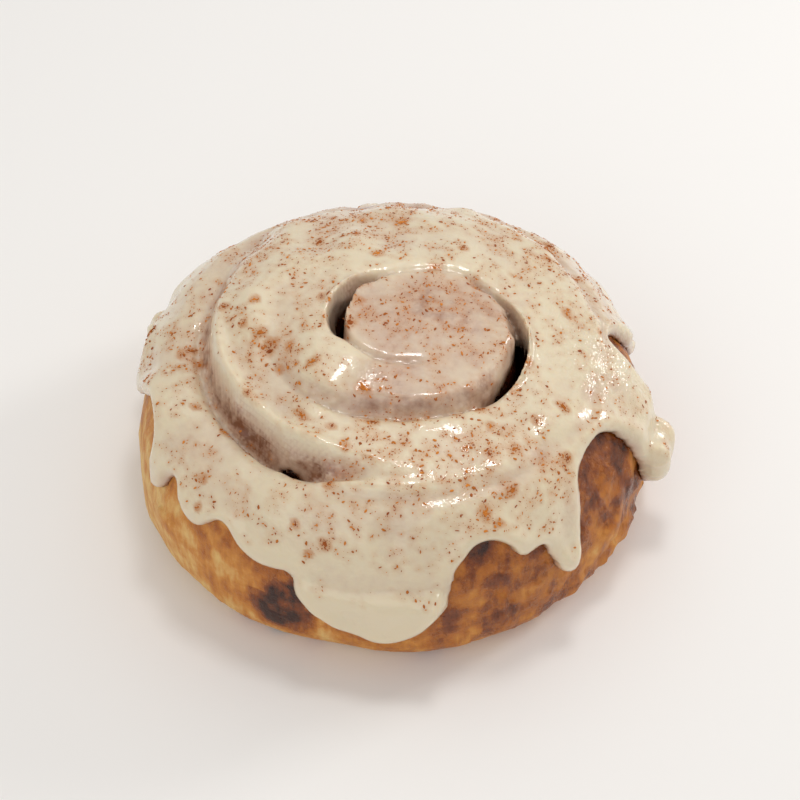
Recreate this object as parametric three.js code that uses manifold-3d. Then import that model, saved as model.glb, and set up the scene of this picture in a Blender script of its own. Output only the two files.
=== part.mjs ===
// An iced cinnamon roll: one strip of dough wound into a flat spiral, a sheet of cinnamon filling
// between its turns, and cream icing that has run over the top and down the sides in drips.
// Millimetres, +Z up. The origin is on the base, under the middle of the roll, and +Y points away
// from the side that is seen first.
import * as THREE from "three";
import { mergeVertices } from "three/addons/utils/BufferGeometryUtils.js";
import Module from "manifold-3d";

const { clamp, degToRad, euclideanModulo, inverseLerp, lerp, radToDeg } = THREE.MathUtils;

// Whole roll
const ROLL_RADIUS = 57.5; // dough at its widest
const CROWN_HEIGHT = 54; // dough at the middle of the top
const DOME_DROP = 11; // how much lower the top is from DOME_RADIUS outwards
const DOME_RADIUS = 50;
const BACK_DROP = 3.2; // how much lower the top is at the back than at the front
const RIM_WAVES = [
  { count: 2, size: 0.012, phase: 0.4 },
  { count: 3, size: 0.014, phase: 1.9 },
  { count: 5, size: 0.007, phase: 0.6 },
]; // the outline isn't a true circle

// Side of the roll: a soft shoulder above a belly, and a rounded foot
const SHOULDER_WIDTH = 13;
const SHOULDER_DROP = 17;
const SHOULDER_POWER = 2.2;
const FOOT_INSET = 5;
const FOOT_HEIGHT = 9;

// Spiral seam between the turns: it starts in the middle coil and winds out clockwise
const SEAM_CENTRE = { x: 4, y: -2 };
const SEAM_START_ANGLE = degToRad(288);
const SEAM_START_REACH = 12.3;
const SEAM_PITCH = 14.5;
const SEAM_OVAL = 1.4; // the coils are wider than they are deep
const SEAM_GAP = 2; // width of the slit that holds the filling
const TAIL_TURN = 3.65; // where the strip ends, thin, against the side
const TAIL_THICKNESS = 2.5; // no part of the strip is thinner
const SLIT_END_TURN = TAIL_TURN - 1;
const SEAM_TIGHTENING = [
  { turn: 0, inwards: -0.8 },
  { turn: 0.12, inwards: 0.2 },
  { turn: 0.3, inwards: 3 },
  { turn: 0.42, inwards: 3.6 },
  { turn: 0.5, inwards: 5 },
  { turn: 0.6, inwards: 4.6 },
  { turn: 0.7, inwards: 3.4 },
  { turn: 0.76, inwards: 1.8 },
  { turn: 0.86, inwards: 0.8 },
  { turn: 1.1, inwards: 2.6 },
  { turn: 1.2, inwards: 0.4 },
  { turn: 1.4, inwards: 1.2 },
  { turn: 2.1, inwards: 1.6 },
  { turn: 2.2, inwards: 2 },
  { turn: 2.3, inwards: 0.5 },
  { turn: SLIT_END_TURN, inwards: 0 },
]; // where the seam is wound tighter than its pitch
const STEP_SLOPE = 18; // the top rises again over this distance outside a step
const SEAM_SHAPE = [
  { turn: 0, step: 0, groove: 0, wall: 3, bank: 3 },
  { turn: 0.03, step: 0, groove: 1, wall: 3, bank: 3 },
  { turn: 0.22, step: 0, groove: 1.4, wall: 3, bank: 3 },
  { turn: 0.28, step: 0, groove: 8.5, wall: 3, bank: 4.5 },
  { turn: 0.36, step: 0, groove: 10.5, wall: 3, bank: 4.5 },
  { turn: 0.41, step: 0, groove: 7.5, wall: 3, bank: 4 },
  { turn: 0.48, step: 0.3, groove: 1.2, wall: 3, bank: 3.5 },
  { turn: 0.66, step: 0.6, groove: 0.5, wall: 3, bank: 3.5 },
  { turn: 0.72, step: 1.5, groove: 1.6, wall: 3.5, bank: 3 },
  { turn: 0.82, step: 3.2, groove: 6.5, wall: 4.5, bank: 3 },
  { turn: 0.88, step: 3.8, groove: 6, wall: 4.2, bank: 3 },
  { turn: 0.96, step: 4.2, groove: 1.4, wall: 3.5, bank: 3 },
  { turn: 1.1, step: 3.6, groove: 0.7, wall: 3.5, bank: 3 },
  { turn: 1.22, step: 1.6, groove: 0.3, wall: 3.5, bank: 3 },
  { turn: 1.3, step: 0, groove: 0, wall: 4, bank: 3 },
  { turn: 2.02, step: 0, groove: 0, wall: 4, bank: 3 },
  { turn: 2.12, step: 3, groove: 1.2, wall: 4.6, bank: 3 },
  { turn: 2.15, step: 5.5, groove: 3, wall: 5, bank: 3 },
  { turn: 2.2, step: 6.5, groove: 2, wall: 5, bank: 3 },
  { turn: 2.32, step: 4.6, groove: 0.9, wall: 4.6, bank: 3 },
  { turn: 2.44, step: 0.9, groove: 0, wall: 5, bank: 3 },
  { turn: 2.5, step: 0, groove: 0, wall: 5, bank: 3 },
]; // along the seam: the step down, the groove at its foot, and the widths of its wall and its bank

// Filling, and the clearance between pieces that touch
const CLEARANCE = 0.3;
const FILLING_SUNK = 1.6; // its top edge lies this far below the lips of the seam
const FILLING_FOOT = 0.8; // and its bottom edge this far above the base
const FILLING_START_TURN = 0.025;
const FILLING_END_TURN = SLIT_END_TURN - 0.025;

// Icing
const ICING_ON_TOP = 2;
const ICING_ON_SIDE = 2.4;
const BRINK_INSET = 6; // the top turns into the side this far in from the widest outline
const EDGE_HEIGHT = 33; // where the icing ends between drips and bare patches
const EDGES = [
  { at: 3, width: 13, height: 40 },
  { at: 22, width: 18, height: 22 },
  { at: 40, width: 14, height: 30 },
  { at: 55, width: 12, height: 18 },
  { at: 76, width: 24, height: 36 },
  { at: 95, width: 10, height: 26 },
  { at: 112, width: 17, height: 13 },
  { at: 138, width: 14, height: 25 },
  { at: 157, width: 12, height: 20 },
  { at: 174, width: 14, height: 27 },
  { at: 191, width: 15, height: 38 },
  { at: 203, width: 7, height: 27 },
  { at: 217, width: 10, height: 29 },
  { at: 237, width: 22, height: 28 },
  { at: 261, width: 36, height: 12 },
  { at: 288, width: 12, height: 37 },
  { at: 297, width: 12, height: 31 },
  { at: 308, width: 11, height: 20 },
  { at: 326, width: 24, height: 40 },
  { at: 346, width: 14, height: 14 },
]; // drips and bare patches: angle and full width in degrees, and the height of the tip
const OPENINGS = [
  { from: 0.3, to: 0.4, width: 3 },
  { from: 0.8, to: 0.9, width: 2.4 },
  { from: 2.13, to: 2.18, width: 2.4 },
]; // stretches of the seam that the icing has not closed, in turns

// Facets
const STEPS_PER_TURN = 40;
const WALL_LEVELS = [0, 0.08, 0.2, 0.5, 0.8, 1];
const CROWN_LEVELS = [0.9, 0.74, 0.5, 0.26, 0.1, 0];
const ICING_STEPS = 98;
const ICING_RINGS = 18;
const DRIP_LEVELS = [
  { down: 0.16, thick: 1 },
  { down: 0.42, thick: 1 },
  { down: 0.7, thick: 1 },
  { down: 0.9, thick: 1.1 },
  { down: 0.98, thick: 0.8 },
  { down: 1, thick: 0.3 },
  { down: 0.97, thick: -0.7 },
]; // a drip swells into a bead before it ends, and its last level lies inside the dough

const wasm = await Module();
wasm.setup();

// Shape of the roll

// Distance from the seam's centre to the widest outline, which goes round the origin.
function rimReach(angle) {
  const wave = RIM_WAVES.reduce((sum, w) => sum + w.size * Math.cos(w.count * angle + w.phase), 1);
  const along = SEAM_CENTRE.x * Math.cos(angle) + SEAM_CENTRE.y * Math.sin(angle);
  const across = SEAM_CENTRE.x * Math.sin(angle) - SEAM_CENTRE.y * Math.cos(angle);
  return Math.sqrt((ROLL_RADIUS * wave) ** 2 - across ** 2) - along;
}

// A value that is given at some turns of the seam, and changes evenly from each to the next.
function seamValue(stops, key, turn) {
  const next = stops.findIndex((stop) => stop.turn > turn);
  if (next === 0) return stops[0][key];
  if (next < 0) return stops[stops.length - 1][key];
  const [before, after] = stops.slice(next - 1, next + 1);
  return lerp(before[key], after[key], inverseLerp(before.turn, after.turn, turn));
}

const seamAngle = (turn) => SEAM_START_ANGLE - 2 * Math.PI * turn;
function seamReach(turn) {
  const even = SEAM_START_REACH + SEAM_PITCH * turn + SEAM_OVAL * Math.cos(2 * seamAngle(turn));
  return even - seamValue(SEAM_TIGHTENING, "inwards", turn);
}

const pointAt = (angle, reach, z) => [
  SEAM_CENTRE.x + reach * Math.cos(angle),
  SEAM_CENTRE.y + reach * Math.sin(angle),
  z,
];

// Height that the top would have without its shoulder and its seam.
function domeHeight(angle, reach) {
  const [x, y] = pointAt(angle, reach, 0);
  const drop = DOME_DROP * Math.min(1, (x * x + y * y) / DOME_RADIUS ** 2);
  return CROWN_HEIGHT - drop - BACK_DROP * clamp(y / DOME_RADIUS, 0, 1) ** 1.5;
}

// How far the side stands in from the widest outline at a height, at its foot and its shoulder.
const footInset = (z) => FOOT_INSET * clamp(1 - z / FOOT_HEIGHT, 0, 1) ** 2;
function shoulderInset(angle, z) {
  const drop = clamp((domeHeight(angle, rimReach(angle)) - z) / SHOULDER_DROP, 0, 1);
  return SHOULDER_WIDTH * (1 - drop ** (1 / SHOULDER_POWER));
}

// How far the top is stepped down at a distance beyond the seam, which is negative inside it.
function stepDown(turn, beyond) {
  const keys = ["step", "groove", "wall", "bank"];
  const [step, groove, wall, bank] = keys.map((key) => seamValue(SEAM_SHAPE, key, turn));
  if (beyond < 0) return (step + groove) * clamp(1 + beyond / wall, 0, 1) ** 1.7;
  return step * clamp(1 - beyond / STEP_SLOPE, 0, 1) + groove * clamp(1 - beyond / bank, 0, 1);
}

// Height of the dough's top: the dome, less its shoulder and the steps from each turn to the next.
function doughTop(angle, reach) {
  const fromRim = clamp((rimReach(angle) - reach) / SHOULDER_WIDTH, 0, 1);
  const shoulder = SHOULDER_DROP * (1 - fromRim) ** SHOULDER_POWER;
  const turns = (SEAM_START_ANGLE - angle) / (2 * Math.PI);
  let steps = 0;
  for (let turn = turns - Math.floor(turns); turn < SLIT_END_TURN; turn += 1) {
    steps += stepDown(turn, reach - seamReach(turn));
  }
  return domeHeight(angle, reach) - Math.hypot(shoulder, steps);
}

// Solids from rows of points

// A closed solid from loose triangles: shared corners are merged and collapsed faces dropped.
function solidOf(corners) {
  const loose = new THREE.BufferGeometry();
  loose.setAttribute("position", new THREE.Float32BufferAttribute(corners, 3));
  const merged = mergeVertices(loose, 1e-3);
  const index = merged.index.array;
  const triVerts = [];
  for (let i = 0; i < index.length; i += 3) {
    const [a, b, c] = index.subarray(i, i + 3);
    if (a !== b && b !== c && c !== a) triVerts.push(a, b, c);
  }
  const vertProperties = merged.attributes.position.array;
  return new wasm.Manifold(
    new wasm.Mesh({ numProp: 3, vertProperties, triVerts: new Uint32Array(triVerts) }),
  );
}

// Joins closed loops of equal length with faces, and closes each end with a fan round a point.
function loft(loops, startPoint, endPoint) {
  const corners = [];
  const face = (...points) => points.forEach((point) => corners.push(...point));
  loops.forEach((loop, row) => {
    loop.forEach((point, i) => {
      const beside = loop[(i + 1) % loop.length];
      if (row === 0) face(point, beside, startPoint);
      if (row === loops.length - 1) {
        face(beside, point, endPoint);
        return;
      }
      const [after, afterBeside] = [loops[row + 1][i], loops[row + 1][(i + 1) % loop.length]];
      face(point, after, afterBeside);
      face(point, afterBeside, beside);
    });
  });
  return solidOf(corners);
}

// A loft of sections along the seam. Each section is a loop of [reach, z] that goes up its outer
// side, and is turned round because the seam winds clockwise. Its fan point is its mean corner.
function alongSeam(fromTurn, toTurn, sectionAt) {
  const first = Math.round(fromTurn * STEPS_PER_TURN);
  const last = Math.round(toTurn * STEPS_PER_TURN);
  const loops = [];
  for (let step = first; step <= last; step++) {
    const turn = step / STEPS_PER_TURN;
    const section = sectionAt(turn).reverse();
    loops.push(section.map(([reach, z]) => pointAt(seamAngle(turn), reach, z)));
  }
  const middle = (loop) => [0, 1, 2].map((k) => loop.reduce((s, p) => s + p[k], 0) / loop.length);
  return loft(loops, middle(loops[0]), middle(loops[loops.length - 1]));
}

// Dough

// One stretch of the strip. The core is wound round the seam's centre, so it has no inner wall.
// Grown, it is the space that the icing has to keep clear of.
function strip(fromTurn, toTurn, isCore, grow) {
  return alongSeam(fromTurn, toTurn, (turn) => {
    const angle = seamAngle(turn);
    const inner = isCore ? 0 : seamReach(turn - 1) + SEAM_GAP / 2;
    const outerAt = (z) => {
      const wall = Math.min(seamReach(turn) - SEAM_GAP / 2, rimReach(angle) - footInset(z));
      return Math.max(wall, seamReach(turn - 1) + TAIL_THICKNESS);
    };
    const outer = outerAt(FOOT_HEIGHT);
    const lip = doughTop(angle, outer);
    const wall = WALL_LEVELS.map((level) => [outerAt(level * lip) + grow, level * (lip + 2 * grow)]);
    const crown = CROWN_LEVELS.map((level) => {
      const reach = lerp(inner, outer, level);
      const grown = lerp(isCore ? 0 : -grow, grow, level);
      return [reach + grown, doughTop(angle, reach) + 2 * grow];
    });
    return [...wall, ...crown, [isCore ? 0 : inner - grow, 0]];
  });
}

const dough = (grow) =>
  strip(-0.05, 0.55, true, grow)
    .add(strip(0.45, 1, true, grow))
    .add(strip(0.95, TAIL_TURN, false, grow));

// Filling

// A band that stands in the seam, with a half width and a top that may change along it.
function seamBand(fromTurn, toTurn, low, halfWidthAt, topAt) {
  return alongSeam(fromTurn, toTurn, (turn) => {
    const high = topAt(turn);
    const [inner, outer] = [-1, 1].map((side) => seamReach(turn) + side * halfWidthAt(turn));
    return [[inner, low], [outer, low], [outer, high], [inner, high]];
  });
}

const fillingTop = (turn) =>
  doughTop(seamAngle(turn), seamReach(turn) + SEAM_GAP / 2) - FILLING_SUNK;

const filling = () =>
  seamBand(
    FILLING_START_TURN,
    FILLING_END_TURN,
    FILLING_FOOT,
    () => SEAM_GAP / 2 - CLEARANCE,
    fillingTop,
  );

// Icing

const icingTop = (angle, reach) => doughTop(angle, reach) + ICING_ON_TOP;

function icingEdge(angle) {
  return EDGES.reduce((height, { at, width, height: tip }) => {
    const away = euclideanModulo(radToDeg(angle) - at + 180, 360) - 180;
    const share = Math.sqrt(Math.max(0, 1 - (away / (width / 2)) ** 2));
    return height + (tip - EDGE_HEIGHT) * share;
  }, EDGE_HEIGHT);
}

// The icing's outer skin, closed through the inside of the dough.
function icingBlob() {
  const angles = Array.from({ length: ICING_STEPS }, (_, i) => (2 * Math.PI * i) / ICING_STEPS);
  const brinkReach = (angle) => rimReach(angle) - BRINK_INSET;
  const loops = [];
  for (let ring = 1; ring <= ICING_RINGS; ring++) {
    loops.push(
      angles.map((angle) => {
        const reach = (brinkReach(angle) * ring) / ICING_RINGS;
        return pointAt(angle, reach, icingTop(angle, reach));
      }),
    );
  }
  for (const { down, thick } of DRIP_LEVELS) {
    loops.push(
      angles.map((angle) => {
        const brink = icingTop(angle, brinkReach(angle));
        const z = lerp(brink, Math.min(icingEdge(angle), brink), down);
        return pointAt(angle, rimReach(angle) - shoulderInset(angle, z) + ICING_ON_SIDE * thick, z);
      }),
    );
  }
  return loft(loops, pointAt(0, 0, icingTop(0, 0)), pointAt(0, 0, FOOT_HEIGHT));
}

// Everything in the slit that the icing doesn't reach, filling included.
const slitPlug = () =>
  seamBand(0, SLIT_END_TURN, 0, () => SEAM_GAP / 2, (turn) => fillingTop(turn) + 2 * CLEARANCE);

// Cutters that leave the seam open, pointed at both ends.
const openings = () =>
  OPENINGS.map(({ from, to, width }) =>
    seamBand(
      from,
      to,
      FILLING_FOOT,
      (turn) => CLEARANCE + (width / 2) * Math.sin(Math.PI * clamp((turn - from) / (to - from), 0, 1)),
      () => CROWN_HEIGHT + 2 * ICING_ON_TOP,
    ),
  );

const largest = (solid) =>
  solid.decompose().reduce((best, body) => (body.volume() > best.volume() ? body : best));

const icing = () =>
  largest(
    [dough(CLEARANCE), slitPlug(), ...openings()].reduce(
      (solid, cutter) => solid.subtract(cutter),
      icingBlob(),
    ),
  );

// Scene graph

function meshOf(name, solid, colour, roughness) {
  const { vertProperties, triVerts } = solid.getMesh();
  const geometry = new THREE.BufferGeometry();
  geometry.setAttribute("position", new THREE.BufferAttribute(vertProperties, 3));
  geometry.setIndex(new THREE.BufferAttribute(triVerts, 1));
  geometry.computeVertexNormals();
  const material = new THREE.MeshStandardMaterial({ color: colour, roughness, metalness: 0 });
  const mesh = new THREE.Mesh(geometry, material);
  mesh.name = name;
  return mesh;
}

const roll = new THREE.Group();
roll.name = "cinnamon_roll";
roll.add(meshOf("dough", dough(0), 0xd9a860, 0.7));
roll.add(meshOf("filling", filling(), 0x5a2c14, 0.5));
roll.add(meshOf("icing", icing(), 0xe9dfc8, 0.3));

export default roll;
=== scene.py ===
import math

import bmesh
import bpy
import numpy as np
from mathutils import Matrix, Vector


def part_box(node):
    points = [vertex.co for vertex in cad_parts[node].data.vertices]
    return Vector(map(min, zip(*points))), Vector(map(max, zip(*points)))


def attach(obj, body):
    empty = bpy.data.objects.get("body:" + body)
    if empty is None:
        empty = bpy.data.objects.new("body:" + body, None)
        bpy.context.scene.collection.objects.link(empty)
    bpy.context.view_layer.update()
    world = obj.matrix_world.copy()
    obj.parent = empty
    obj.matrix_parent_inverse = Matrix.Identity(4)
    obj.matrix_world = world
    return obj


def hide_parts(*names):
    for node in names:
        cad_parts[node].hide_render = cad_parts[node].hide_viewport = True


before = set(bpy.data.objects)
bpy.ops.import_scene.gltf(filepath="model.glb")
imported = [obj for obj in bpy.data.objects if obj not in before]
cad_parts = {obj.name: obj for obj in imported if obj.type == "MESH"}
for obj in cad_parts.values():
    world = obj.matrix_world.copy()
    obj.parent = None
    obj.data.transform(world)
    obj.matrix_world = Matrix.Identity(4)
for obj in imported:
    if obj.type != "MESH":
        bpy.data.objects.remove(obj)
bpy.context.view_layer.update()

import openvdb
from mathutils import Matrix, Vector
from mathutils.bvhtree import BVHTree
from mathutils.kdtree import KDTree

# Dough: a strip of sweet yeast dough, rolled up with its filling, set on its cut edge and baked.
# Its top has swelled into a dome with a valley along the spiral seam. The side is a soft skin, pale
# where it was sheltered and browned to a sticky crust on the right.

MM = 0.001
CROWN_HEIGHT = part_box("dough")[1].z / MM
DOME_DROP = 11.0
DOME_RADIUS = 50.0
BACK_DROP = 3.2
ROLL_RADIUS = 57.5
RIM_WAVES = [(2, 0.012, 0.4), (3, 0.014, 1.9), (5, 0.007, 0.6)]  # count, size, phase
SHOULDER_WIDTH = 13.0
SHOULDER_DROP = 17.0
SHOULDER_POWER = 2.2
FOOT_INSET = 5.0
FOOT_HEIGHT = 9.0
SEAM_CENTRE = (4.0, -2.0)
SEAM_START_ANGLE = math.radians(288)
SEAM_START_REACH = 12.3
SEAM_PITCH = 14.5
SEAM_OVAL = 1.4
SEAM_TIGHTENING = [
    (0.00, -0.8),
    (0.12, 0.2),
    (0.30, 3.0),
    (0.42, 3.6),
    (0.50, 5.0),
    (0.60, 4.6),
    (0.70, 3.4),
    (0.76, 1.8),
    (0.86, 0.8),
    (1.10, 2.6),
    (1.20, 0.4),
    (1.40, 1.2),
    (2.10, 1.6),
    (2.20, 2.0),
    (2.30, 0.5),
    (2.65, 0.0),
]  # turn, and how much further in the seam runs there than its even pitch
SEAM_GAP = 2.0
SLIT_END_TURN = 2.65
STEP_SLOPE = 18.0  # the top rises again over this distance outside a step
SEAM_SHAPE = [
    (0.00, 0.0, 0.0, 1.4, 1.2),
    (0.03, 0.0, 1.0, 1.5, 1.2),
    (0.14, 0.0, 1.2, 1.6, 1.2),
    (0.22, 0.0, 1.4, 1.5, 2.5),
    (0.25, 0.0, 3.0, 1.5, 4.0),
    (0.28, 0.0, 8.5, 1.6, 4.4),
    (0.36, 0.0, 10.5, 1.8, 3.6),
    (0.41, 0.0, 7.5, 2.0, 2.8),
    (0.45, 0.1, 3.0, 2.0, 2.2),
    (0.48, 0.3, 1.2, 1.8, 1.6),
    (0.55, 0.5, 0.5, 1.6, 1.2),
    (0.66, 0.8, 0.5, 2.0, 1.0),
    (0.72, 1.6, 1.6, 3.4, 1.0),
    (0.77, 2.6, 4.6, 4.0, 1.6),
    (0.82, 3.2, 7.5, 4.2, 2.2),
    (0.88, 3.8, 7.5, 4.0, 2.4),
    (0.92, 4.2, 4.4, 3.4, 2.4),
    (0.96, 4.2, 1.4, 2.8, 2.4),
    (1.02, 4.0, 1.0, 2.6, 1.6),
    (1.10, 3.6, 0.9, 3.2, 1.6),
    (1.16, 2.8, 0.7, 3.0, 1.6),
    (1.22, 1.6, 0.5, 3.0, 1.6),
    (1.30, 0.0, 0.0, 4.0, 2.0),
    (2.02, 0.0, 0.0, 4.0, 2.0),
    (2.08, 0.8, 0.5, 4.0, 2.0),
    (2.12, 3.0, 1.2, 4.6, 2.4),
    (2.15, 5.5, 3.0, 5.0, 2.6),
    (2.20, 6.5, 2.0, 5.2, 2.6),
    (2.26, 6.0, 1.4, 5.0, 2.6),
    (2.32, 4.6, 0.9, 4.6, 2.6),
    (2.38, 2.6, 0.4, 4.6, 2.6),
    (2.44, 0.9, 0.1, 5.0, 2.6),
    (2.50, 0.0, 0.0, 5.0, 2.6),
]  # turn, then in mm the step down, the groove at its foot, and the widths of its wall and its bank


def smooth_step(value):
    value = np.clip(value, 0, 1)
    return value * value * (3 - 2 * value)


def rim_reach(angle):
    """Distance from the seam's centre to the roll's widest outline, which goes round the origin."""
    wave = 1 + sum(size * np.cos(count * angle + phase) for count, size, phase in RIM_WAVES)
    along = SEAM_CENTRE[0] * np.cos(angle) + SEAM_CENTRE[1] * np.sin(angle)
    across = SEAM_CENTRE[0] * np.sin(angle) - SEAM_CENTRE[1] * np.cos(angle)
    return np.sqrt((ROLL_RADIUS * wave) ** 2 - across**2) - along


def seam_angle(turn):
    return SEAM_START_ANGLE - 2 * math.pi * turn


def seam_reach(turn):
    even = SEAM_START_REACH + SEAM_PITCH * turn - np.interp(turn, *zip(*SEAM_TIGHTENING))
    return even + SEAM_OVAL * np.cos(2 * seam_angle(turn))


def first_turn(angle):
    """Where along the first turn of the seam an angle lies, from 0 to 1."""
    return ((SEAM_START_ANGLE - angle) / (2 * math.pi)) % 1


def side_inset(z, brow):
    """How far the side stands in from the widest outline: a rounded foot, a belly, a shoulder."""
    foot = FOOT_INSET * np.clip(1 - z / FOOT_HEIGHT, 0, 1) ** 2
    fall = np.clip((brow + 2.5 - z) / SHOULDER_DROP, 0, 1)
    return foot + SHOULDER_WIDTH * (1 - fall ** (1 / SHOULDER_POWER))


def dome_height(angle, reach):
    x = SEAM_CENTRE[0] + reach * np.cos(angle)
    y = SEAM_CENTRE[1] + reach * np.sin(angle)
    drop = DOME_DROP * np.minimum(1, (x * x + y * y) / DOME_RADIUS**2)
    return CROWN_HEIGHT - drop - BACK_DROP * np.clip(y / DOME_RADIUS, 0, 1) ** 1.5


def seam_steps(angle, reach):
    """How far the top is stepped down along the seam, and how much of a place is a steep wall."""
    steps, steep = 0, 0
    stops, *columns = zip(*SEAM_SHAPE)
    for lap in range(3):
        turn = first_turn(angle) + lap
        step, groove, wall, bank = (np.interp(turn, stops, column) for column in columns)
        beyond = reach - seam_reach(turn)
        inside = (step + groove) * np.clip(1 + beyond / wall, 0, 1) ** 1.7
        outside = step * np.clip(1 - beyond / STEP_SLOPE, 0, 1) + groove * (1 - smooth_step(beyond / bank))
        steps = steps + np.where(beyond < 0, inside, outside)
        foot = np.where(beyond < 0, 1 + beyond / wall, 1 - beyond / bank)
        height = np.where(beyond < 0, step + groove, groove)
        steep = np.maximum(steep, smooth_step(height / 4) * smooth_step(foot * 1.6))
    return steps, steep


def top_height(angle, reach):
    """The dome, less the shoulder, and stepped down along the seam from each turn to the next."""
    from_rim = np.clip((rim_reach(angle) - reach) / SHOULDER_WIDTH, 0, 1)
    shoulder = SHOULDER_DROP * (1 - from_rim) ** SHOULDER_POWER
    return dome_height(angle, reach) - np.hypot(shoulder, seam_steps(angle, reach)[0])


def lumps(x, y, z, size, seed):
    """Smooth random values from -1 to 1 over space, about size mm from one lump to the next."""
    lattice = np.random.default_rng(seed).uniform(-1, 1, (32, 32, 32)).astype(np.float32)
    whole, part = [], []
    for value in (x, y, z):
        floor = np.floor(np.asarray(value) / size)
        whole.append(floor.astype(int))
        part.append(smooth_step(np.asarray(value) / size - floor))
    total = 0
    for corner in np.ndindex(2, 2, 2):
        weight = 1
        for axis in range(3):
            weight = weight * (part[axis] if corner[axis] else 1 - part[axis])
        cell = [(whole[axis] + corner[axis]) % 32 for axis in range(3)]
        total = total + weight * lattice[cell[0], cell[1], cell[2]]
    return total


def blurred(field, radius):
    """A field softened by a bell curve of that radius, in cells, along each of its axes."""
    steps = np.arange(-math.ceil(3 * radius), math.ceil(3 * radius) + 1)
    weights = np.exp(-0.5 * (steps / radius) ** 2)
    weights /= weights.sum()
    for axis in range(field.ndim):
        field = sum(weight * np.roll(field, step, axis) for step, weight in zip(steps, weights))
    return field


def keep_largest(mesh):
    """Deletes the specks that lie apart from a mesh's largest island."""
    shape = bmesh.new()
    shape.from_mesh(mesh)
    unseen, islands = set(shape.verts), []
    while unseen:
        island = [unseen.pop()]
        for vertex in island:
            found = {edge.other_vert(vertex) for edge in vertex.link_edges} & unseen
            unseen -= found
            island.extend(found)
        islands.append(island)
    islands.remove(max(islands, key=len))
    bmesh.ops.delete(shape, geom=sum(islands, []), context="VERTS")
    shape.to_mesh(mesh)
    shape.free()


class Space:
    """A block of space round the roll, cut into cells, with each column's place round the seam."""

    def __init__(self, cell, lowest):
        self.cell = cell
        self.low = np.array([-66.0, -66.0, lowest])
        self.x = np.arange(self.low[0], 66, cell)[:, None]
        self.y = np.arange(self.low[1], 66, cell)[None, :]
        self.z = np.arange(lowest, CROWN_HEIGHT + 8, cell)[None, None, :]
        self.angle = np.arctan2(self.y - SEAM_CENTRE[1], self.x - SEAM_CENTRE[0])
        self.reach = np.hypot(self.x - SEAM_CENTRE[0], self.y - SEAM_CENTRE[1])
        self.rim = rim_reach(self.angle)

    def dough_field(self, softness):
        """Signed distance from the dough's skin, negative inside it, with its edges softened."""
        height = top_height(self.angle, self.reach)
        height = height + 0.6 * lumps(self.x, self.y, 0, 13.0, 5) + 0.2 * lumps(self.x, self.y, 0, 5.0, 6)
        if softness:
            height = blurred(height, softness / self.cell)
        slope_x, slope_y = np.gradient(height, self.cell)
        steepness = np.sqrt(1 + slope_x**2 + slope_y**2)
        above = (self.z - height[:, :, None]) / steepness[:, :, None]
        x, y = self.x[:, :, None], self.y[:, :, None]
        folds = 1.0 * lumps(x, y, self.z * 0.5, 15.0, 2) + 0.3 * lumps(x, y, self.z * 0.6, 6.0, 3)
        brow = dome_height(self.angle, self.rim)[:, :, None]
        beside = (self.reach - self.rim)[:, :, None] + side_inset(self.z, brow) + folds
        share = np.clip(0.5 + 0.5 * (above - beside) / 5, 0, 1)
        return beside * (1 - share) + above * share + 5 * share * (1 - share)

    def from_seam(self):
        """Distance in plan from the nearest stretch of the slit."""
        nearest = np.full(self.reach.shape, 99.0)
        for lap in range(3):
            turn = first_turn(self.angle) + lap
            away = np.where(turn < SLIT_END_TURN, np.abs(self.reach - seam_reach(turn)), 99)
            nearest = np.minimum(nearest, away)
        return nearest

    def mesh(self, name, field, flatness=0.0):
        """The closed surface where a field is zero, as a mesh object in metres."""
        grid = openvdb.FloatGrid(4.0)
        grid.copyFromArray(np.clip(field, -4, 4).astype(np.float32))
        points, triangles, quads = grid.convertToPolygons(0.0, flatness)
        points = (self.low + points * self.cell) * MM
        mesh = bpy.data.meshes.new(name)
        mesh.from_pydata(points.tolist(), [], triangles.tolist() + quads.tolist())
        keep_largest(mesh)
        mesh.shade_smooth()
        piece = bpy.data.objects.new(name, mesh)
        bpy.context.scene.collection.objects.link(piece)
        return piece


def vertices_of(piece):
    places = np.zeros(len(piece.data.vertices) * 3, np.float32)
    piece.data.vertices.foreach_get("co", places)
    return places.reshape(-1, 3)


def store(piece, name, values):
    attribute = piece.data.attributes.new(name, "FLOAT", "POINT")
    attribute.data.foreach_set("value", np.asarray(values, np.float32))


def linear(code):
    """An sRGB hex colour as linear values with full alpha."""
    parts = [int(code[i : i + 2], 16) / 255 for i in (1, 3, 5)]
    return tuple(p / 12.92 if p <= 0.04045 else ((p + 0.055) / 1.055) ** 2.4 for p in parts) + (1.0,)


def add(tree, kind, inputs=None, **settings):
    """Adds a node with its settings, and sets or links its inputs by name or number."""
    node = tree.nodes.new(kind)
    for name, value in settings.items():
        setattr(node, name, value)
    for key, value in (inputs or {}).items():
        if isinstance(value, bpy.types.NodeSocket):
            tree.links.new(value, node.inputs[key])
        else:
            node.inputs[key].default_value = value
    return node


def noise(tree, place, size, detail, roughness=0.5):
    """A noise pattern about size mm from one patch to the next, as values from 0 to 1."""
    inputs = {"Vector": place, "Scale": 1 / (size * MM), "Detail": detail, "Roughness": roughness}
    return add(tree, "ShaderNodeTexNoise", inputs).outputs["Fac"]


def weighed(tree, value, weight, offset=0.0):
    """A value times a weight, plus an offset, each of them a number or a socket."""
    inputs = {0: value, 1: weight, 2: offset}
    return add(tree, "ShaderNodeMath", inputs, operation="MULTIPLY_ADD").outputs[0]


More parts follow.
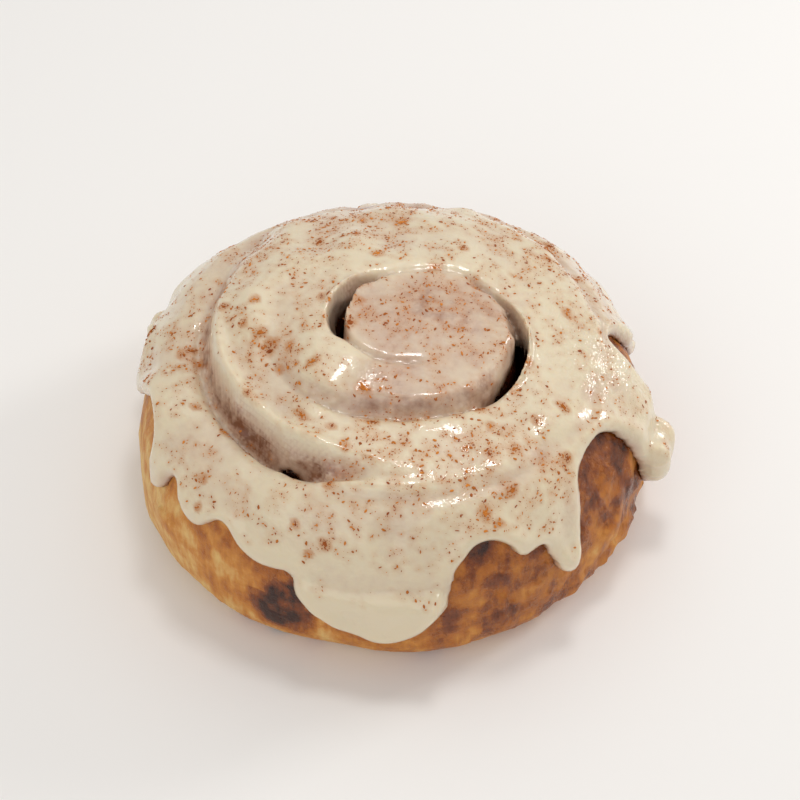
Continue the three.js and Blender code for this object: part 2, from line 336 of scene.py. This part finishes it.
def graded(tree, value, stops):
    """Colours a value by stops, each a value and its sRGB hex colour."""
    span = stops[-1][0]
    share = weighed(tree, value, 1 / span)
    ramp = add(tree, "ShaderNodeValToRGB", {"Fac": share})
    ramp.color_ramp.elements.remove(ramp.color_ramp.elements[1])
    ramp.color_ramp.elements[0].color = linear(stops[0][1])
    for position, colour in stops:
        ramp.color_ramp.elements.new(position / span).color = linear(colour)
    return ramp.outputs["Color"]


DOUGH_CELL = 0.75
CRUST_BEARING = math.radians(-28)  # the side that is browned most
CRAGS = 0.75  # height of the crags where the crust is hardest
CRAGS_ELSEWHERE = 0.12
dough_space = Space(DOUGH_CELL, -4 * DOUGH_CELL)
x, y, z = dough_space.x[:, :, None], dough_space.y[:, :, None], dough_space.z
crags = 1 - 2 * np.abs(lumps(x, y, z * 0.7, 6.0, 4))
crags = crags + 0.6 * (1 - 2 * np.abs(lumps(x, y, z * 0.8, 2.6, 7)))
facing_crust = (0.5 + 0.5 * np.cos(dough_space.angle - CRUST_BEARING))[:, :, None]
solid = dough_space.dough_field(0) + (CRAGS_ELSEWHERE + CRAGS * facing_crust**4) * crags
solid = np.maximum(solid, -z)
solid = np.maximum(solid, SEAM_GAP / 2 - dough_space.from_seam()[:, :, None])
dough = dough_space.mesh("dough_strip", solid, 0.1)

# Baked dough: a matt golden crumb skin with fine fibres, browning to a glossy caramel crust.
crust = bpy.data.materials.new("baked_sweet_dough")
crust.use_nodes = True
tree = crust.node_tree
shader = tree.nodes["Principled BSDF"]
place = add(tree, "ShaderNodeTexCoord").outputs["Object"]
brown = add(tree, "ShaderNodeAttribute", attribute_name="browning").outputs["Fac"]
blotch = noise(tree, place, 7, 6.0)
contrast = weighed(tree, brown, 1.2, 1.7)  # a pale skin is even, a crust is blotched
uneven = weighed(tree, blotch, contrast, weighed(tree, brown, 0.4, -0.1))
stretched = add(tree, "ShaderNodeMapping", {"Vector": place, "Scale": (1.0, 1.0, 0.25)}).outputs["Vector"]
fibres = noise(tree, stretched, 1.4, 4.0)  # real fibres are finer, and would be lost at this distance
baked = weighed(tree, uneven, 1.0, weighed(tree, fibres, 0.5, -0.25))
TONES = [(0.3, "#dfb671"), (0.55, "#cd8a40"), (0.8, "#b0661f"), (1.05, "#7f3d0f"), (1.35, "#361306")]
tree.links.new(graded(tree, baked, TONES), shader.inputs["Base Color"])
gloss = add(
    tree,
    "ShaderNodeMapRange",
    {"Value": baked, "From Min": 0.6, "From Max": 1.0, "To Min": 0.6, "To Max": 0.2},
)
tree.links.new(gloss.outputs["Result"], shader.inputs["Roughness"])
crackle = noise(tree, place, 2.4, 6.0, 0.6)
relief = weighed(tree, fibres, 0.35, weighed(tree, crackle, baked))
bump = add(tree, "ShaderNodeBump", {"Height": relief, "Strength": 0.8, "Distance": 1.2 * MM})
tree.links.new(bump.outputs["Normal"], shader.inputs["Normal"])
shader.inputs["Specular IOR Level"].default_value = 0.4
shader.inputs["Subsurface Weight"].default_value = 0.15
shader.inputs["Subsurface Radius"].default_value = (1.0, 0.45, 0.2)
shader.inputs["Subsurface Scale"].default_value = 2 * MM
dough.data.materials.append(crust)

# Browning: most on the crust's side, high up and along the slit, and where the filling has spilled.
SPILL_BEARING = 238
SPILL_WIDTH = 11
SPILL_TOP = 34
spots = vertices_of(dough) / MM
around = np.arctan2(spots[:, 1], spots[:, 0])
sunny = smooth_step(0.5 + 0.62 * np.cos(around + math.radians(25)))
risen = smooth_step((spots[:, 2] - 12) / 34)
sheltered = smooth_step((10 - spots[:, 2]) / 10)
away = np.hypot(spots[:, 0] - SEAM_CENTRE[0], spots[:, 1] - SEAM_CENTRE[1])
bearing = np.arctan2(spots[:, 1] - SEAM_CENTRE[1], spots[:, 0] - SEAM_CENTRE[0])
smeared = 0
for lap in range(3):
    turn = first_turn(bearing) + lap
    from_slit = np.abs(away - seam_reach(turn))
    smeared = np.maximum(smeared, (turn < SLIT_END_TURN) * (1 - smooth_step((from_slit - 0.9) / 1.2)))
spilled = 0.2 + smooth_step((lumps(*spots.T, 5.0, 31) - 0.2) / 0.3)
spilled *= np.exp(-(((np.degrees(around) % 360 - SPILL_BEARING) / SPILL_WIDTH) ** 2))
spilled *= smooth_step((SPILL_TOP - spots[:, 2]) / 8)
browning = -0.38 + 0.45 * sunny + 0.25 * risen - 0.2 * sheltered + 1.2 * smeared + 0.9 * spilled
store(dough, "browning", browning)
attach(dough, "root")
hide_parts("dough")

# Filling: brown sugar, butter and cinnamon, spread on the dough before it was rolled up. It stands
# in the slit as a dark moist sheet, and has sunk away where the seam gapes open.

FILLING_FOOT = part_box("filling")[0].z / MM
FILLING_THICKNESS = 1.4
FILLING_SUNK = 1.6
SUNK_IN_OPENINGS = 14.0
OPENINGS = [(0.28, 0.42, 3.2), (0.77, 0.94, 3.2), (2.14, 2.175, 2.0)]  # from, to, in turns; width
turns = np.linspace(0.025, SLIT_END_TURN - 0.025, 700)
sunk = np.full(turns.shape, FILLING_SUNK)
for start, end, _ in OPENINGS:
    sunk += SUNK_IN_OPENINGS * np.exp(-(((turns - (start + end) / 2) / (end - start)) ** 2))
reaches = seam_reach(turns)
tops = top_height(seam_angle(turns), reaches) - sunk
line = np.stack(
    [
        SEAM_CENTRE[0] + reaches * np.cos(seam_angle(turns)),
        SEAM_CENTRE[1] + reaches * np.sin(seam_angle(turns)),
        np.full(turns.shape, FILLING_FOOT),
    ],
    1,
)
mesh = bpy.data.meshes.new("cinnamon_filling")
mesh.from_pydata((line * MM).tolist(), [(i, i + 1) for i in range(len(turns) - 1)], [])
filling = bpy.data.objects.new("cinnamon_filling", mesh)
bpy.context.scene.collection.objects.link(filling)
store(filling, "rise", (tops - FILLING_FOOT) * MM)


def mixed(tree, factor, first, second):
    """The first colour with the second mixed in by a factor."""
    inputs = {"Factor": factor, 6: first, 7: second}
    return add(tree, "ShaderNodeMix", inputs, data_type="RGBA").outputs[2]


# Cinnamon sugar: wet grains in dark syrup, with a dull sparkle.
sugar = bpy.data.materials.new("cinnamon_sugar_filling")
sugar.use_nodes = True
tree = sugar.node_tree
shader = tree.nodes["Principled BSDF"]
place = add(tree, "ShaderNodeTexCoord").outputs["Object"]
grains = noise(tree, place, 0.8, 4.0)
tint = mixed(tree, grains, linear("#2a1008"), linear("#6e3a18"))
tree.links.new(tint, shader.inputs["Base Color"])
bump = add(tree, "ShaderNodeBump", {"Height": grains, "Strength": 0.6, "Distance": 0.3 * MM})
tree.links.new(bump.outputs["Normal"], shader.inputs["Normal"])
shader.inputs["Roughness"].default_value = 0.4

sheet = bpy.data.node_groups.new("sheet_along_seam", "GeometryNodeTree")
sheet.is_modifier = True
sheet.interface.new_socket("Geometry", in_out="INPUT", socket_type="NodeSocketGeometry")
sheet.interface.new_socket("Geometry", in_out="OUTPUT", socket_type="NodeSocketGeometry")
thickness = sheet.interface.new_socket("Thickness", in_out="INPUT", socket_type="NodeSocketFloat")
given = add(sheet, "NodeGroupInput").outputs
rise = add(sheet, "GeometryNodeInputNamedAttribute", {"Name": "rise"}, data_type="FLOAT").outputs[0]
upwards = add(sheet, "FunctionNodeInputVector", vector=(0, 0, 1)).outputs[0]
wall = add(
    sheet,
    "GeometryNodeExtrudeMesh",
    {"Mesh": given["Geometry"], "Offset": upwards, "Offset Scale": rise},
    mode="EDGES",
).outputs["Mesh"]
thick = add(
    sheet,
    "GeometryNodeExtrudeMesh",
    {"Mesh": wall, "Offset Scale": given["Thickness"], "Individual": False},
    mode="FACES",
).outputs["Mesh"]
closed = add(sheet, "GeometryNodeJoinGeometry")
turned = add(sheet, "GeometryNodeFlipFaces", {"Mesh": wall}).outputs["Mesh"]
sheet.links.new(turned, closed.inputs[0])
sheet.links.new(thick, closed.inputs[0])
whole = add(sheet, "GeometryNodeMergeByDistance", {"Geometry": closed.outputs[0], "Distance": 0.02 * MM})
real = add(sheet, "GeometryNodeRealizeInstances", {"Geometry": whole.outputs[0]})
finished = add(sheet, "GeometryNodeSetMaterial", {"Geometry": real.outputs[0], "Material": sugar})
add(sheet, "NodeGroupOutput", {"Geometry": finished.outputs[0]})
modifier = filling.modifiers.new("sheet", "NODES")
modifier.node_group = sheet
modifier[thickness.identifier] = FILLING_THICKNESS * MM
made = filling.evaluated_get(bpy.context.evaluated_depsgraph_get())
filling.data = bpy.data.meshes.new_from_object(made)
filling.modifiers.clear()
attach(filling, "root")
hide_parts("filling")

# Icing: cream icing of sugar, butter and soft cheese, poured on while the roll was warm. It has
# pooled in the valleys, thinned on the crests and walls, and run down the side in drips.

ICING_CELL = 0.68
ICING_ON_SIDE = 2.4
ICING_UNDER = 0.5  # the icing reaches this far into the dough, so that no gap shows
FILM_ON_WALLS = 0.35
FILM_ON_MIDDLE = 1.0
FILM_LEAST = 0.12
BEAD_WIDTH = 3.2  # the icing rounds over to its edge within this distance
LUMPS_ON_WALLS = 0.9
LIP = 1.5  # a bead of icing that hangs over the wall, along these turns of the seam
LIP_TURNS = (2.1, 2.36)
THIN_AT_BACK = (34, 12)  # the film thins from this y, over this distance
CREASED = (46, -2, 13)  # where the skin has dried in creases: place and radius
EDGE_HEIGHT = 33.0
EDGE_STEP = 0.4  # degrees between the points that stand for the edge
EDGE_SOFTNESS = 1.3  # degrees over which the edge rounds from one drip to the next
EDGES = [
    (3, 13, 44),
    (22, 18, 22),
    (40, 14, 30),
    (55, 12, 18),
    (76, 24, 41),
    (95, 10, 26),
    (112, 17, 13),
    (138, 14, 25),
    (157, 12, 20),
    (174, 14, 27),
    (191, 15, 38),
    (203, 7, 27),
    (209, 5, 35),
    (217, 10, 29),
    (237, 22, 28),
    (261, 36, 12),
    (288, 12, 37),
    (297, 12, 31),
    (308, 11, 20),
    (326, 24, 42),
    (346, 14, 14),
]  # drips and bare patches: angle and width in degrees, height of the tip
SWELLS = [
    (20.0, -16.5, 49, 3.0, 1.5),
    (-32.3, -18.5, 46, 2.4, 0.9),
    (-29.4, -20.0, 46, 2.2, 0.9),
    (-26.5, -21.9, 46, 2.2, 1.0),
    (-24.6, -25.0, 46, 2.2, 0.9),
    (-20.4, -31.0, 45, 2.2, 0.8),
    (53.5, -10.0, 32, 7.0, 2.0),
    (54.0, -16.0, 20, 6.0, 2.2),
    (-55.5, 5.0, 29, 5.0, 1.2),
    (-49.5, -21.0, 32, 4.0, 1.0),
    (25.0, -51.0, 34, 4.0, 1.4),
]  # where the icing has gathered: place, radius and extra thickness


def icing_edge(degrees):
    height = np.full(degrees.shape, EDGE_HEIGHT)
    for at, width, tip in EDGES:
        away = (degrees - at + 180) % 360 - 180
        height += (tip - EDGE_HEIGHT) * np.sqrt(np.maximum(0, 1 - (away / (width / 2)) ** 2))
    return height


icing_space = Space(ICING_CELL, 4.0)
x, y, z = icing_space.x[:, :, None], icing_space.y[:, :, None], icing_space.z

# The side unrolled: how far each point of it is inside the icing's edge.
degrees = np.arange(0, 360, 1.0)
fine = np.arange(-20, 380, EDGE_STEP)
edge_along = np.radians(fine) * ROLL_RADIUS
edge_up = blurred(icing_edge(fine), EDGE_SOFTNESS / EDGE_STEP)
levels = z.ravel()
inside_edge = np.empty((len(degrees), len(levels)))
for row, angle in enumerate(degrees):
    along = edge_along - math.radians(angle) * ROLL_RADIUS
    gap = np.sqrt((along[None, :] ** 2 + (levels[:, None] - edge_up[None, :]) ** 2).min(1))
    inside_edge[row] = np.where(levels > np.interp(angle, fine, edge_up), gap, -gap)
column = np.degrees(icing_space.angle) % 360
before = np.floor(column).astype(int)
share = (column - before)[:, :, None]
inside = (1 - share) * inside_edge[before % 360] + share * inside_edge[(before + 1) % 360]
inside += 0.7 * lumps(x, y, z, 5.0, 11)
inside += np.maximum(0, icing_space.rim - SHOULDER_WIDTH - icing_space.reach)[:, :, None]
bead = np.sqrt(1 - (1 - np.clip(inside / BEAD_WIDTH, 0, 1)) ** 2)
heavy = 1 + 0.3 * smooth_step((30 - z) / 18) + 0.35 * np.exp(-(((inside - BEAD_WIDTH) / 2.2) ** 2))
swelling = 1 + 0.35 * lumps(x, y, z * 0.6, 8.0, 14)

gathered = 0
for *centre, radius, extra in SWELLS:
    apart = sum((value - middle) ** 2 for value, middle in zip((x, y, z), centre))
    gathered = gathered + extra * np.exp(-apart / radius**2)

steep = seam_steps(icing_space.angle, icing_space.reach)[1]
lap = first_turn(icing_space.angle)
in_middle = icing_space.reach < seam_reach(np.where(lap < 0.15, lap + 1, lap))
in_middle = blurred(in_middle.astype(float), 1.6 / icing_space.cell)
film = ICING_ON_SIDE + (FILM_ON_MIDDLE - ICING_ON_SIDE) * in_middle
patchy = 0.6 + 0.45 * lumps(icing_space.x, icing_space.y, 0, 6.0, 16)
on_side = smooth_step((icing_space.reach - icing_space.rim + 4) / 3)
film *= 1 - patchy * (1 - on_side) * smooth_step((icing_space.y - THIN_AT_BACK[0]) / THIN_AT_BACK[1])
worn = FILM_ON_WALLS * (1 + 0.9 * lumps(icing_space.x, icing_space.y, 0, 3.0, 15))
film = film + (worn - film) * steep
turn = first_turn(icing_space.angle) + 2
stops, _, _, walls, _ = zip(*SEAM_SHAPE)
crest = icing_space.reach - seam_reach(turn) + np.interp(turn, stops, walls)
along_lip = smooth_step((turn - LIP_TURNS[0]) / 0.05) * smooth_step((LIP_TURNS[1] - turn) / 0.08)
film += LIP * along_lip * np.exp(-(((crest - 0.4) / 1.4) ** 2))
film += 0.4 * lumps(icing_space.x, icing_space.y, 0, 14.0, 12)
film += 0.16 * lumps(icing_space.x, icing_space.y, 0, 4.5, 13)
laid_film = blurred(np.maximum(film, FILM_LEAST), 0.9)
thick = (laid_film[:, :, None] * swelling * heavy + gathered) * bead
thick = thick + LUMPS_ON_WALLS * steep[:, :, None] * np.maximum(0, lumps(x, y, z, 3.4, 17))
body = icing_space.dough_field(0.4) - thick + np.clip(-inside, 0, 3)
for start, end, width in OPENINGS:
    lap = math.floor(start)
    turn = first_turn(icing_space.angle) + lap
    swell = np.clip((turn - start) / (end - start), 0, 1)
    mouth = np.abs(icing_space.reach - seam_reach(turn)) - width / 2 * np.sin(math.pi * swell)
    mouth = np.where((turn > start) & (turn < end), mouth, 9)
    body = np.maximum(body, -blurred(np.minimum(mouth, 3), 0.8)[:, :, None])
under = icing_space.dough_field(0)
icing = icing_space.mesh("cream_icing", np.maximum(body, -under - ICING_UNDER))

# Cream icing: smooth and wet, cream where it is thick, greyer and pinker where the dough and
# cinnamon show through a thin film.
cream = bpy.data.materials.new("cream_icing")
cream.use_nodes = True
tree = cream.node_tree
shader = tree.nodes["Principled BSDF"]
place = add(tree, "ShaderNodeTexCoord").outputs["Object"]
film = add(tree, "ShaderNodeAttribute", attribute_name="thickness").outputs["Fac"]
patches = noise(tree, place, 5, 4.0)
specks = noise(tree, place, 1.8, 4.0)
broad = weighed(tree, film, 1.0, weighed(tree, patches, 0.9, -0.45))
depth = weighed(tree, broad, 1.0, weighed(tree, specks, 1.2, -0.6))
DEPTHS = [
    (0.1, "#75452b"),
    (0.45, "#a98670"),
    (0.9, "#c6aa93"),
    (1.5, "#d1bba1"),
    (2.2, "#d9c7ab"),
    (2.8, "#decfb1"),
]  # the colour by the film's thickness in mm
stain = add(tree, "ShaderNodeAttribute", attribute_name="stain").outputs["Fac"]
stained = mixed(tree, stain, graded(tree, depth, DEPTHS), linear("#bd7834"))
tree.links.new(stained, shader.inputs["Base Color"])
wrinkles = noise(tree, place, 1.3, 2.0)
drying = noise(tree, place, 9, 2.0)
amount = add(
    tree,
    "ShaderNodeMapRange",
    {"Value": drying, "From Min": 0.45, "From Max": 0.62, "To Min": 0.3},
)
creased = add(tree, "ShaderNodeAttribute", attribute_name="creased").outputs["Fac"]
height = weighed(tree, wrinkles, weighed(tree, creased, 2.5, amount.outputs["Result"]))
bump = add(tree, "ShaderNodeBump", {"Height": height, "Strength": 1.0, "Distance": 0.18 * MM})
tree.links.new(bump.outputs["Normal"], shader.inputs["Normal"])
tree.links.new(bump.outputs["Normal"], shader.inputs["Coat Normal"])
shader.inputs["Roughness"].default_value = 0.34
shader.inputs["IOR"].default_value = 1.45
shader.inputs["Subsurface Weight"].default_value = 0.35
shader.inputs["Subsurface Radius"].default_value = (1.0, 0.7, 0.45)
shader.inputs["Subsurface Scale"].default_value = 2.5 * MM
shader.inputs["Coat Weight"].default_value = 0.8
shader.inputs["Coat Roughness"].default_value = 0.07
icing.data.materials.append(cream)

spots = vertices_of(icing)
dough_skin = BVHTree.FromPolygons(
    vertices_of(dough).tolist(), [tuple(face.vertices) for face in dough.data.polygons]
)
film_mm = np.array([dough_skin.find_nearest(spot)[3] for spot in spots.tolist()]) / MM
column = np.round((spots[:, :2] / MM - icing_space.low[:2]) / icing_space.cell).astype(int)
down_side = smooth_step((icing_space.reach - icing_space.rim + 9) / 4)
most = 1.3 * laid_film + 3 * down_side  # on the steep walls of the seam a lump looks no thicker
store(icing, "thickness", np.minimum(film_mm, most[column[:, 0], column[:, 1]]))
from_crease = np.hypot(spots[:, 0] / MM - CREASED[0], spots[:, 1] / MM - CREASED[1])
store(icing, "creased", np.exp(-((from_crease / CREASED[2]) ** 2)))
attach(icing, "root")
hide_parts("icing")

# Cinnamon: ground bark, shaken over the wet icing from a height. Most of it lies as single flecks
# and some has fallen in clumps, and each has stained the icing round it.

DUST_SIZE = 0.34  # the finest real dust is about 0.1 mm, drawn coarser here
FLECK_SIZE = 0.85
CLUMP_SIZE = 2.6
normals = np.zeros(len(spots) * 3, np.float32)
icing.data.vertices.foreach_get("normal", normals)
normals = normals.reshape(-1, 3)
facing_up = smooth_step((normals[:, 2] - 0.25) / 0.6)
drifts = 0.5 + 0.5 * lumps(*(spots / MM).T, 12.0, 21)
gusts = smooth_step(0.5 + 0.9 * lumps(*(spots / MM).T, 2.6, 22))
store(icing, "dusting", facing_up * drifts * gusts * (film_mm > 0.1))

# Ground cinnamon: matt orange-brown bark, from tan to dark.
bark = bpy.data.materials.new("ground_cinnamon")
bark.use_nodes = True
tree = bark.node_tree
shader = tree.nodes["Principled BSDF"]
tone = add(tree, "ShaderNodeAttribute", attribute_name="tone").outputs["Fac"]
tint = mixed(tree, tone, linear("#93450a"), linear("#d3822a"))
tree.links.new(tint, shader.inputs["Base Color"])
shader.inputs["Roughness"].default_value = 0.75

dust = bpy.data.node_groups.new("shaken_cinnamon", "GeometryNodeTree")
dust.is_modifier = True
dust.interface.new_socket("Geometry", in_out="INPUT", socket_type="NodeSocketGeometry")
dust.interface.new_socket("Geometry", in_out="OUTPUT", socket_type="NodeSocketGeometry")
sizes = {}
for name in ["Dust", "Flecks", "Clumps"]:
    for kind in [" per Area", " Size"]:
        socket = dust.interface.new_socket(name + kind, in_out="INPUT", socket_type="NodeSocketFloat")
        sizes[name + kind] = socket
given = add(dust, "NodeGroupInput").outputs
dusting = add(dust, "GeometryNodeInputNamedAttribute", {"Name": "dusting"}, data_type="FLOAT").outputs[0]


def chance(low, high, seed):
    """A random number for each point or instance."""
    inputs = {2: low, 3: high, "Seed": seed}
    return add(dust, "FunctionNodeRandomValue", inputs, data_type="FLOAT").outputs[1]


grain = add(dust, "GeometryNodeMeshIcoSphere", {"Radius": 0.5, "Subdivisions": 1}).outputs["Mesh"]
flake = add(dust, "GeometryNodeTransform", {"Geometry": grain, "Scale": (1.0, 0.7, 0.3)}).outputs[0]
speck = add(dust, "GeometryNodeMeshUVSphere", {"Segments": 4, "Rings": 2, "Radius": 0.5}).outputs["Mesh"]
mote = add(dust, "GeometryNodeTransform", {"Geometry": speck, "Scale": (1.0, 0.8, 0.4)}).outputs[0]
heaps = add(dust, "GeometryNodeJoinGeometry")
for radius, packed, seed in [(0.18, 240.0, 4), (0.6, 26.0, 5)]:
    inputs = {"Radius": radius, "Vertices": 12}
    disc = add(dust, "GeometryNodeMeshCircle", inputs, fill_type="NGON").outputs["Mesh"]
    heap = add(
        dust,
        "GeometryNodeDistributePointsOnFaces",
        {"Mesh": disc, "Density": packed, "Seed": seed},
        distribute_method="RANDOM",
    ).outputs["Points"]
    dust.links.new(heap, heaps.inputs[0])
heap_turn = add(
    dust,
    "FunctionNodeRandomValue",
    {0: (0, 0, 0), 1: (0.6, 0.6, 6.28), "Seed": 6},
    data_type="FLOAT_VECTOR",
).outputs[0]
heap_size = chance(0.08, 0.3, 7)
clump = add(
    dust,
    "GeometryNodeInstanceOnPoints",
    {"Points": heaps.outputs[0], "Instance": flake, "Rotation": heap_turn, "Scale": heap_size},
).outputs[0]
layers = add(dust, "GeometryNodeJoinGeometry")
for name, seed, shape in [("Dust", 1, mote), ("Flecks", 2, flake), ("Clumps", 3, clump)]:
    amount = given[name + " per Area"]
    density = weighed(dust, amount, dusting)
    fallen = add(
        dust,
        "GeometryNodeDistributePointsOnFaces",
        {"Mesh": given["Geometry"], "Density": density, "Seed": seed},
        distribute_method="RANDOM",
    ).outputs
    spin = chance(0.0, 6.28, seed + 10)
    turned = add(dust, "FunctionNodeAxisAngleToRotation", {"Axis": (0, 0, 1), "Angle": spin}).outputs[0]
    laid = add(
        dust,
        "FunctionNodeRotateRotation",
        {0: fallen["Rotation"], 1: turned},
        rotation_space="LOCAL",
    ).outputs[0]
    spread = chance(0.0, 1.0, seed + 20)
    skewed = add(dust, "ShaderNodeMath", {0: spread, 1: 2.5}, operation="POWER").outputs[0]
    size = weighed(dust, weighed(dust, skewed, 0.8, 0.5), given[name + " Size"])
    across = weighed(dust, size, chance(0.45, 1.0, seed + 30))
    shaped = add(dust, "ShaderNodeCombineXYZ", {"X": size, "Y": across, "Z": size}).outputs[0]
    scattered = add(
        dust,
        "GeometryNodeInstanceOnPoints",
        {"Points": fallen["Points"], "Instance": shape, "Rotation": laid, "Scale": shaped},
    ).outputs[0]
    shade = chance(0.0, 1.0, seed + 40)
    toned = add(
        dust,
        "GeometryNodeStoreNamedAttribute",
        {"Geometry": scattered, "Name": "tone", "Value": shade},
        data_type="FLOAT",
        domain="INSTANCE",
    ).outputs[0]
    dust.links.new(toned, layers.inputs[0])
real = add(dust, "GeometryNodeRealizeInstances", {"Geometry": layers.outputs[0]}).outputs[0]
crumble = add(dust, "ShaderNodeTexNoise", {"Scale": 1 / (0.5 * MM), "Detail": 1.0}).outputs["Color"]
centred = add(dust, "ShaderNodeVectorMath", {0: crumble, 1: (-0.5, -0.5, -0.5)}, operation="ADD").outputs[0]
jagged = add(dust, "ShaderNodeVectorMath", {0: centred, "Scale": 0.35 * MM}, operation="SCALE").outputs[0]
rough = add(dust, "GeometryNodeSetPosition", {"Geometry": real, "Offset": jagged}).outputs[0]
finished = add(dust, "GeometryNodeSetMaterial", {"Geometry": rough, "Material": bark})
add(dust, "NodeGroupOutput", {"Geometry": finished.outputs[0]})

cinnamon = bpy.data.objects.new("ground_cinnamon", icing.data)
bpy.context.scene.collection.objects.link(cinnamon)
modifier = cinnamon.modifiers.new("dust", "NODES")
modifier.node_group = dust
for name, value in [
    ("Dust per Area", 2600000.0),
    ("Dust Size", DUST_SIZE * MM),
    ("Flecks per Area", 1100000.0),
    ("Flecks Size", FLECK_SIZE * MM),
    ("Clumps per Area", 30000.0),
    ("Clumps Size", CLUMP_SIZE * MM),
]:
    modifier[sizes[name].identifier] = value
made = cinnamon.evaluated_get(bpy.context.evaluated_depsgraph_get())
flecks = bpy.data.meshes.new_from_object(made)
cinnamon.modifiers.clear()
cinnamon.data = flecks
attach(cinnamon, "root")

# The stain in the icing: stronger where more of the cinnamon lies within its reach.
STAIN_REACH = 0.8
STAIN_MOST = 0.65
STAIN_CROWD = 80  # so many of the flecks' points within reach give the strongest stain
grains = vertices_of(cinnamon)
nearby = KDTree(len(grains))
for index, spot in enumerate(grains.tolist()):
    nearby.insert(spot, index)
nearby.balance()
crowd = np.array([len(nearby.find_range(spot, STAIN_REACH * MM)) for spot in spots.tolist()])
store(icing, "stain", STAIN_MOST * np.clip(crowd / STAIN_CROWD, 0, 1) ** 0.8)

# Floor, lights and camera: a pale plain floor under an even sky, a large soft light above and one in
# front, two small ones overhead and on the right that glint on the icing, and the view from the front.

bpy.ops.mesh.primitive_plane_add(size=6)
floor = bpy.context.object
floor.name = "floor"
ground = bpy.data.materials.new("pale_floor")
ground.use_nodes = True
ground.node_tree.nodes["Principled BSDF"].inputs["Base Color"].default_value = linear("#f3f1ee")
ground.node_tree.nodes["Principled BSDF"].inputs["Roughness"].default_value = 0.8
floor.data.materials.append(ground)

world = bpy.data.worlds.new("studio")
world.use_nodes = True
world.node_tree.nodes["Background"].inputs["Color"].default_value = linear("#f6f4f2")
world.node_tree.nodes["Background"].inputs["Strength"].default_value = 0.66
bpy.context.scene.world = world
bpy.context.scene.view_settings.view_transform = "Standard"

for name, spot, size, power in [
    ("above", (0.04, 0.28, 0.62), 0.5, 0.4),
    ("glint", (0.06, 0.08, 0.62), 0.10, 0.65),
    ("right", (0.55, 0.24, 0.32), 0.14, 1.1),
    ("front", (-0.25, -0.55, 0.45), 0.6, 0.8),
]:
    light = bpy.data.lights.new(name, "AREA")
    light.size = size
    light.energy = power
    lamp = bpy.data.objects.new(name, light)
    lamp.location = spot
    lamp.rotation_euler = (Vector((0, 0, 0.04)) - Vector(spot)).to_track_quat("-Z", "Y").to_euler()
    bpy.context.scene.collection.objects.link(lamp)

ELEVATION = math.radians(49.04)
ROLL = math.radians(-0.85)
FOCAL_PIXELS, FRAME_PIXELS, SENSOR = 2143.5, 800, 36.0
AIM = Vector((1.56, -16.2, 43.4)) * MM
DISTANCE = 463.7 * MM
back = Vector((0, -math.cos(ELEVATION), math.sin(ELEVATION)))
right = Vector((1, 0, 0))
up = back.cross(right)
right, up = right * math.cos(ROLL) + up * math.sin(ROLL), up * math.cos(ROLL) - right * math.sin(ROLL)
lens = bpy.data.cameras.new("camera")
lens.sensor_width = SENSOR
lens.lens = SENSOR * FOCAL_PIXELS / FRAME_PIXELS
lens.clip_start = 0.01
camera = bpy.data.objects.new("camera", lens)
turned = Matrix((right, up, back)).transposed().to_4x4()
camera.matrix_world = Matrix.Translation(AIM + back * DISTANCE) @ turned
bpy.context.scene.collection.objects.link(camera)
bpy.context.scene.camera = camera
